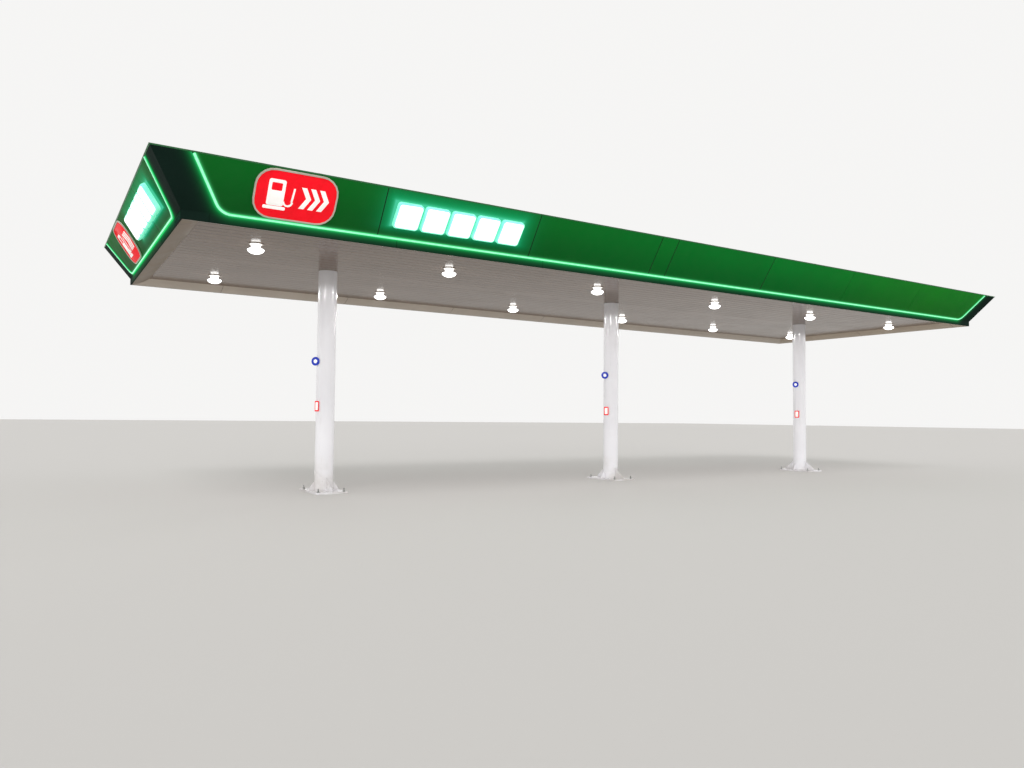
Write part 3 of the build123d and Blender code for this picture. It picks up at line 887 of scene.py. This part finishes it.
def makeBell(part):
    # prismatic glass of each lamp, in the place of the plain one: a slim head over a wide bowl
    bm = bmesh.new()
    for x, y in lampPlaces:
        glass = spun(bell[part], bell["segments"], closed=False)
        joinInto(bm, glass, shift(x, y, lamps["flangeBottom"]))
    piece = makePiece("lamp_" + part + "s", bm, "glass", math.radians(50))
    piece.visible_shadow = False  # the lamps' light leaves through the glass
    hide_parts("lamp_glasses")
    return piece


makeBell("head")
makeBell("bowl").visible_glossy = False  # the gloss soffit would show each lamp twice

lampTrim = {
    "sunk": 0.003,
    "width": 0.014,
    "height": 0.01,
    "segments": 48,
    "catches": 3,
    "catch": (0.022, 0.012),
    "catchDepth": 0.007,
    "firstCatch": 0.5,
}


def makeLampRings():
    # retaining ring round the neck of each glass, with three catches
    bm = bmesh.new()
    inner = lamps["neckRadius"] - lampTrim["sunk"]
    outer = inner + lampTrim["width"]
    drop = -lampTrim["height"]
    outline = (
        (inner, 0.0), (outer, 0.0), (outer, drop * 0.5), (outer - 0.006, drop), (inner + 0.004, drop),
        (inner, drop * 0.6),
    )
    flip = turnX(math.pi)
    for x, y in lampPlaces:
        ring = spun(outline, lampTrim["segments"])
        for i in range(lampTrim["catches"]):
            catch = plate(lampTrim["catch"], 0.003, lampTrim["catchDepth"], edge=0.002, segments=2)
            turn = turnZ(math.tau * i / lampTrim["catches"] + lampTrim["firstCatch"])
            joinInto(ring, catch, turn @ shift(outer + 0.003, 0, 0) @ flip)
        joinInto(bm, ring, shift(x, y, lamps["flangeBottom"]))
    makePiece("lamp_rings", bm, "enamel")


makeLampRings()
print("fixings, welds and lamps made")


def makeGaskets():
    # dark gasket over each joint between two trays
    bm = bmesh.new()
    length = joints["to"] - joints["from"]
    middle = (joints["from"] + joints["to"]) / 2
    for side in sides:
        for u in joints[turned.get(side, side)]:
            strip = plate((joints["width"], length), 0.002, joints["height"], 0.0, 0.0004, 1)
            joinInto(bm, strip, faceMatrix(side) @ shift(u, middle, -0.0002))
    makePiece("tray_gaskets", bm, "gasket")


makeGaskets()

tubeEnd = {"radius": 0.0242, "length": 0.026, "start": 0.89, "round": 0.011}


def makeTubeEnds():
    # rounded luminous end on each slanted run, over the edge of the flashing
    bm = bmesh.new()
    tilt = math.atan(leanRate)
    length = tubeEnd["length"]
    for side in sides:
        half = roof["halfLength"] if turned.get(side, side) == "front" else roof["halfWidth"]
        for hand in (-1, 1):
            end = bmesh.new()
            addCone(end, 24, tubeEnd["radius"], tubeEnd["radius"], 0, length)
            high = [e for e in end.edges if all(v.co.z > length / 2 for v in e.verts)]
            ease(end, high, tubeEnd["round"], 4)
            u = hand * (half - roof["cornerStrip"] + tubeEnd["start"] * leanRate)
            at = shift(u, tubeEnd["start"], 0)
            lean = turnZ(-hand * tilt) @ turnX(-math.pi / 2)
            joinInto(bm, end, faceMatrix(side) @ at @ lean)
    makePiece("tube_ends", bm, "tube")


makeTubeEnds()

strap = {
    "width": 0.07,
    "sheet": 0.0008,
    "gap": 0.0003,
    "faceLeg": 0.02,
    "capWidth": 0.16,
    "capSheet": 0.003,
    "backLeg": 0.048,
    "rivetRadius": 0.0055,
    "rivetFlat": 0.3,
    "rivetsAlong": (-0.024, 0.024),
    "rivetsAcross": (0.2, 0.8),
    "front": (-9.54, -6.36, -3.18, 0.0, 3.18, 6.36, 9.54),
    "left": (-1.9, 1.9),
}


def bentSheet(line, start, width, sheet):
    # sheet of metal along a bent line of out and height, from start along the edge
    bm = bmesh.new()
    verts = [bm.verts.new((start, out, height)) for out, height in line]
    edges = [bm.edges.new(pair) for pair in zip(verts, verts[1:])]
    grown = bmesh.ops.extrude_edge_only(bm, edges=edges)["geom"]
    grown = [v for v in grown if isinstance(v, bmesh.types.BMVert)]
    bmesh.ops.translate(bm, vec=(width, 0, 0), verts=grown)
    bmesh.ops.recalc_face_normals(bm, faces=bm.faces[:])
    if max(bm.faces, key=lambda f: f.calc_center_median().z).normal.z < 0:
        bmesh.ops.reverse_faces(bm, faces=bm.faces[:])
    bmesh.ops.solidify(bm, geom=bm.faces[:], thickness=-sheet)
    return bm


def makeStraps():
    # butt strap over each joint of the flashing, with blind rivets on its flat top
    bm = bmesh.new()
    rivets = bmesh.new()
    top = roof["topHeight"] + strap["gap"]
    low = top - strap["faceLeg"]
    past = strap["capSheet"] + strap["gap"]
    outer = reachAt(roof["topHeight"]) + past
    back = outer - strap["capWidth"] - 2 * strap["gap"]
    bend = ((reachAt(low) + past, low), (outer, top), (back, top), (back, top - strap["backLeg"]))
    flat = Matrix.Diagonal((1, 1, strap["rivetFlat"], 1))
    for side in sides:
        for u in strap[turned.get(side, side)]:
            piece = bentSheet(bend, u - strap["width"] / 2, strap["width"], strap["sheet"])
            joinInto(bm, piece, edgeMatrix(side))
            for du in strap["rivetsAlong"]:
                for share in strap["rivetsAcross"]:
                    rivet = bmesh.new()
                    bmesh.ops.create_uvsphere(
                        rivet, u_segments=10, v_segments=6, radius=strap["rivetRadius"]
                    )
                    out = back + (outer - back) * share
                    at = shift(u + du, out, top + strap["sheet"])
                    joinInto(rivets, rivet, edgeMatrix(side) @ at @ flat)
    makePiece("cap_straps", bm, "cap")
    makePiece("cap_rivets", rivets, "bolts")


makeStraps()

outlet = {
    "floor": roof["gutterFloor"],
    "radius": 0.075,
    "bars": 16,
    "wire": 0.006,
    # radius and height
    "collar": ((0.071, 0.0), (0.1, 0.0), (0.1, 0.003), (0.075, 0.006), (0.071, 0.006)),
}


def makeOutlets():
    # leaf guard on each gutter outlet, over the columns
    guards = bmesh.new()
    collars = bmesh.new()
    for place in columns["places"]:
        dome = bmesh.new()
        bmesh.ops.create_uvsphere(dome, u_segments=outlet["bars"], v_segments=10, radius=outlet["radius"])
        bmesh.ops.bisect_plane(
            dome, geom=dome.verts[:] + dome.edges[:] + dome.faces[:], plane_co=(0, 0, 0.001),
            plane_no=(0, 0, 1), clear_inner=True,
        )
        bmesh.ops.wireframe(
            dome, faces=dome.faces[:], thickness=outlet["wire"], offset=0.0, use_replace=True,
            use_boundary=True, use_even_offset=True,
        )
        joinInto(guards, dome, shift(place, 0, outlet["floor"]))
        collar = spun(outlet["collar"], 32)
        joinInto(collars, collar, shift(place, 0, outlet["floor"] - 0.0005))
    makePiece("outlet_guards", guards, "bolts")
    makePiece("outlet_collars", collars, "gutter")


makeOutlets()
print("gaskets, tube ends, straps and outlets made")

emblem = {
    "v": 0.487,
    "size": (1.36, 0.84),
    "corner": 0.3,
    "rim": 0.028,
    "rimDepth": 0.026,
    "depth": 0.018,
    "boardGap": 0.025,
    "raised": 0.006,
    "pumpAt": -0.33,
    "chevronsAt": (0.06, 0.21, 0.36),
    "chevron": (0.085, 0.36, 0.1),
}


def chevron(width, height, reach):
    # plain arrow stroke that points along +X
    bm = bmesh.new()
    outline = ((0, -1), (width, -1), (width + reach, 0), (width, 1), (0, 1), (reach, 0))
    bm.faces.new([bm.verts.new((x, y * height / 2, 0)) for x, y in outline])
    bm.normal_update()
    thicken(bm, emblem["raised"], 0.001)
    return bm


# The pump on the board: sizes, and places from its middle
pump = {
    "body": (0.27, 0.44),
    "bodyAt": (0, 0.03, 0),
    "window": (0.17, 0.13),
    "windowAt": (0, 0.1),
    "foot": (0.36, 0.055),
    "footAt": (0, -0.225, 0),
    "hoseRadii": (0.055, 0.085),
    "hoseAt": (0.205, -0.1, 0),
    "nozzle": (0.03, 0.24),
    "nozzleAt": (0.275, 0.02, 0),
}


def fuelPump():
    bm = bmesh.new()
    raised = emblem["raised"]
    body = ringPlate(pump["body"], 0.035, raised, pump["window"], 0.02, pump["windowAt"], edge=0.001)
    joinInto(bm, body, Matrix.Translation(pump["bodyAt"]))
    foot = plate(pump["foot"], 0.02, raised, edge=0.001)
    joinInto(bm, foot, Matrix.Translation(pump["footAt"]))
    hose = bmesh.new()
    inner, outer = pump["hoseRadii"]
    section = ((inner, 0), (outer, 0), (outer, raised), (inner, raised))
    line = [hose.verts.new((across, 0, height)) for across, height in section]
    edges = [hose.edges.new((line[i], line[(i + 1) % 4])) for i in range(4)]
    bmesh.ops.spin(
        hose, geom=line + edges, angle=math.pi, steps=16, axis=(0, 0, 1), cent=(0, 0, 0)
    )
    bmesh.ops.holes_fill(hose, edges=[e for e in hose.edges if e.is_boundary])
    joinInto(bm, hose, Matrix.Translation(pump["hoseAt"]) @ turnZ(math.pi))
    nozzle = plate(pump["nozzle"], 0.01, raised, slant=0.02, edge=0.001)
    joinInto(bm, nozzle, Matrix.Translation(pump["nozzleAt"]))
    return bm


def makeEmblem(side):
    # red board in a pale rim, with a plain fuel pump and three arrow strokes raised on it
    at = faceMatrix(side) @ shift(signs[side]["emblemU"], emblem["v"], 0)
    width, height = emblem["size"]
    corner = emblem["corner"]
    inside = (width - 2 * emblem["rim"], height - 2 * emblem["rim"])
    rim = ringPlate((width, height), corner, emblem["rimDepth"], inside, corner - emblem["rim"], edge=0.003)
    makePiece(side + "_emblem_rim", placed(rim, at), "signRim")
    size = (width - 2 * emblem["boardGap"], height - 2 * emblem["boardGap"])
    board = plate(size, corner - 0.02, emblem["depth"], edge=0.002, segments=8)
    makePiece(side + "_emblem_board", placed(board, at), "signRed")
    marks = bmesh.new()
    lift = shift(0, 0, emblem["depth"] - 0.001)
    joinInto(marks, fuelPump(), lift @ shift(emblem["pumpAt"], 0, 0))
    for x in emblem["chevronsAt"]:
        joinInto(marks, chevron(*emblem["chevron"]), lift @ shift(x, 0, 0))
    makePiece(side + "_emblem_marks", placed(marks, at), "signWhite")


block = {
    "standoff": 0.03,
    "corner": 0.06,
    "depth": 0.075,
    "slant": 0.03,
    "margin": 0.05,
    "raised": 0.014,
    "postsAt": (-0.13, 0.13),
    "postRadii": (0.012, 0.008),
}


def makeBlocks(side):
    # a row of plain raised luminous blocks, each with a step round its face
    bodies = bmesh.new()
    faces = bmesh.new()
    posts = bmesh.new()
    row = signs[side]
    width = row["pitch"] - signs["blockGap"]
    height = signs["blockHeight"]
    slant = block["slant"]
    margin = block["margin"]
    for i in range(signs["blockCount"]):
        u = row["blocksU"] + (i - (signs["blockCount"] - 1) / 2) * row["pitch"]
        foot = faceMatrix(side) @ shift(u, row["blocksV"], 0)
        at = foot @ shift(0, 0, block["standoff"])
        joinInto(bodies, plate((width, height), block["corner"], block["depth"], slant, 0.012), at)
        raised = plate((width - margin, height - margin), 0.045, block["raised"], slant * 0.9, 0.006)
        joinInto(faces, raised, at @ shift(0, 0, block["depth"] - 0.001))
        for dv in block["postsAt"]:
            post = bmesh.new()
            addCone(post, 12, *block["postRadii"], -0.002, block["standoff"] + 0.002)
            joinInto(posts, post, foot @ shift(0, dv, 0))
    makePiece(side + "_block_bodies", bodies, "blockSide")
    makePiece(side + "_block_faces", faces, "blockFace")
    makePiece(side + "_block_posts", posts, "bolts")


for side in ("front", "left"):
    makeEmblem(side)
    makeBlocks(side)
print("signs made")

columnPlates = {
    # turned from the column's left towards its front, and shifted along itself
    "disc": {"height": 2.82, "turn": math.radians(45), "shift": -0.145, "out": 0.2085, "studAt": 0.055},
    "discDiameter": 0.19,
    "discDepth": 0.004,
    "discSpot": 0.085,
    "discSpotAt": 0.0042,
    "tag": {"height": 1.85, "turn": math.radians(15), "shift": 0.0, "out": 0.2125, "studAt": 0.0},
    "tagSize": (0.15, 0.225),
    "tagDepth": 0.003,
    "tagMargin": 0.028,
    "tagFaceAt": 0.0031,
    "faceDepth": 0.001,
    "stud": 0.024,
    "studsAt": (-0.04, 0.04),
}


def makeColumnPlates():
    # bare round plate and bare bordered plate on each column, on studs
    discs = bmesh.new()
    discSpots = bmesh.new()
    tags = bmesh.new()
    tagFaces = bmesh.new()
    studs = bmesh.new()
    faceDepth = columnPlates["faceDepth"]
    upright = turnZ(-math.pi / 2) @ turnX(math.pi / 2)
    for place in columns["places"]:
        at = {}
        for kind in ("disc", "tag"):
            how = columnPlates[kind]
            toColumn = shift(place, 0, how["height"]) @ turnZ(how["turn"])
            at[kind] = toColumn @ upright @ shift(how["shift"], 0, how["out"])
            beside = how["shift"] + how["studAt"]
            deep = how["out"] - math.sqrt(columns["radius"] ** 2 - beside**2) + 0.003
            for dz in columnPlates["studsAt"]:
                stud = bmesh.new()
                wide = columnPlates["stud"]
                addCone(stud, 16, wide / 2, wide / 2.4, 0.001 - deep, 0.001)
                joinInto(studs, stud, at[kind] @ shift(how["studAt"], dz, 0))
        for bm, size, depth, edge, lift, segments in (
            (discs, columnPlates["discDiameter"], columnPlates["discDepth"], 0.001, 0, 12),
            (discSpots, columnPlates["discSpot"], faceDepth, 0.0003, columnPlates["discSpotAt"], 8),
        ):
            disc = plate((size, size), size * 0.499, depth, edge=edge, segments=segments)
            joinInto(bm, disc, at["disc"] @ shift(0, 0, lift))
        width, height = columnPlates["tagSize"]
        joinInto(tags, plate((width, height), 0.012, columnPlates["tagDepth"], edge=0.001), at["tag"])
        width -= 2 * columnPlates["tagMargin"]
        height -= 2 * columnPlates["tagMargin"]
        inner = plate((width, height), 0.006, faceDepth, edge=0.0003)
        joinInto(tagFaces, inner, at["tag"] @ shift(0, 0, columnPlates["tagFaceAt"]))
    makePiece("column_discs", discs, "signBlue")
    # the disc spots, tags and tag faces glow with their sign finishes: painted light
    makePiece("column_disc_spots", discSpots, "signWhite")
    makePiece("column_tags", tags, "signRed")
    makePiece("column_tag_faces", tagFaces, "signWhite")
    makePiece("column_plate_studs", studs, "bolts")


makeColumnPlates()
print("column plates made")


def lookFrom(place, yaw, pitch, roll):
    # yaw is from +Y towards +X, pitch upwards from the level
    turn = turnZ(-yaw) @ turnX(math.pi / 2 + pitch)
    return Matrix.Translation(place) @ turn @ turnZ(roll)


view = {
    "place": (-13.366, -16.189, 1.651),
    "yaw": math.radians(32.122),
    "pitch": math.radians(2.513),
    "roll": math.radians(0.575),
    "lens": 26.72,
}
camera = bpy.data.cameras.new("camera")
camera.sensor_width = 36.0
camera.lens = view["lens"]
camera.clip_end = 1000.0
cameraObject = bpy.data.objects.new("camera", camera)
cameraObject.matrix_world = lookFrom(view["place"], view["yaw"], view["pitch"], view["roll"])
bpy.context.scene.collection.objects.link(cameraObject)
bpy.context.scene.camera = cameraObject

studio = {
    "floorSize": 400.0,
    "suns": (
        # from x, y, z, strength
        (-0.55, -0.75, 0.9, 1.2),
        (-0.3, -1.0, 0.2, 0.9),
        (0.3, 1.0, 0.2, 0.9),
        (-1.0, 0.2, 0.2, 0.5),
        (1.0, -0.2, 0.2, 0.35),
    ),
    "sunAngle": math.radians(30),
    "worldStrength": 0.78,
    "worldSeen": 0.92,
    "worldColor": (1.0, 0.995, 0.985, 1.0),
    "fillPower": 230.0,
    "fillSize": (26.0, 12.0),
    "lampHeight": 4.68,
    "lampPower": 60.0,
    "lampSpread": math.radians(173),
    "lampRadius": 0.08,
    "lampBlend": 0.08,
}


def addLight(name, kind, place, rotation, power, **settings):
    # unseen itself; its highlights show only if glossy is True
    glossy = settings.pop("glossy", False)
    light = bpy.data.lights.new(name, kind)
    light.energy = power
    for key, value in settings.items():
        setattr(light, key, value)
    lightObject = bpy.data.objects.new(name, light)
    lightObject.location = place
    lightObject.rotation_euler = rotation
    lightObject.visible_camera = False
    lightObject.visible_glossy = glossy
    bpy.context.scene.collection.objects.link(lightObject)


def makeStudio():
    bm = bmesh.new()
    bmesh.ops.create_grid(bm, x_segments=1, y_segments=1, size=studio["floorSize"] / 2)
    mesh = bpy.data.meshes.new("floor")
    bm.to_mesh(mesh)
    bm.free()
    floor = bpy.data.objects.new("floor", mesh)
    bpy.context.scene.collection.objects.link(floor)
    shader = Shader("paleFloor")
    mesh.materials.append(shader.finish(Base_Color=linear(190, 188, 185), Roughness=0.9))

    for i, (x, y, z, strength) in enumerate(studio["suns"]):
        turn = Vector((x, y, z)).to_track_quat("Z", "Y").to_euler()
        addLight("sun" + str(i), "SUN", (0, 0, 8), turn, strength, angle=studio["sunAngle"])
    length, width = studio["fillSize"]
    addLight(
        "fill", "AREA", (0, 0, 0.05), (math.pi, 0, 0), studio["fillPower"],
        shape="RECTANGLE", size=length, size_y=width,
    )
    for i, (x, y) in enumerate(lampPlaces):
        addLight(
            "lamp" + str(i), "SPOT", (x, y, studio["lampHeight"]), (0, 0, 0), studio["lampPower"],
            shadow_soft_size=studio["lampRadius"], spot_size=studio["lampSpread"],
            spot_blend=studio["lampBlend"], glossy=True,
        )

    world = bpy.data.worlds.new("world")
    bpy.context.scene.world = world
    world.use_nodes = True
    tree = world.node_tree
    background = tree.nodes["Background"]
    background.inputs["Color"].default_value = studio["worldColor"]
    # brighter to the camera and in mirrors than as light
    path = tree.nodes.new("ShaderNodeLightPath")
    strength = None
    for ray in ("Is Camera Ray", "Is Glossy Ray", "Is Transmission Ray"):
        scale = tree.nodes.new("ShaderNodeMapRange")
        scale.inputs["To Min"].default_value = studio["worldStrength"]
        scale.inputs["To Max"].default_value = studio["worldSeen"]
        if strength is not None:
            tree.links.new(strength, scale.inputs["To Min"])
        tree.links.new(path.outputs[ray], scale.inputs["Value"])
        strength = scale.outputs[0]
    tree.links.new(strength, background.inputs["Strength"])


makeStudio()
bpy.context.scene.view_settings.view_transform = "Standard"
print("studio and camera set")
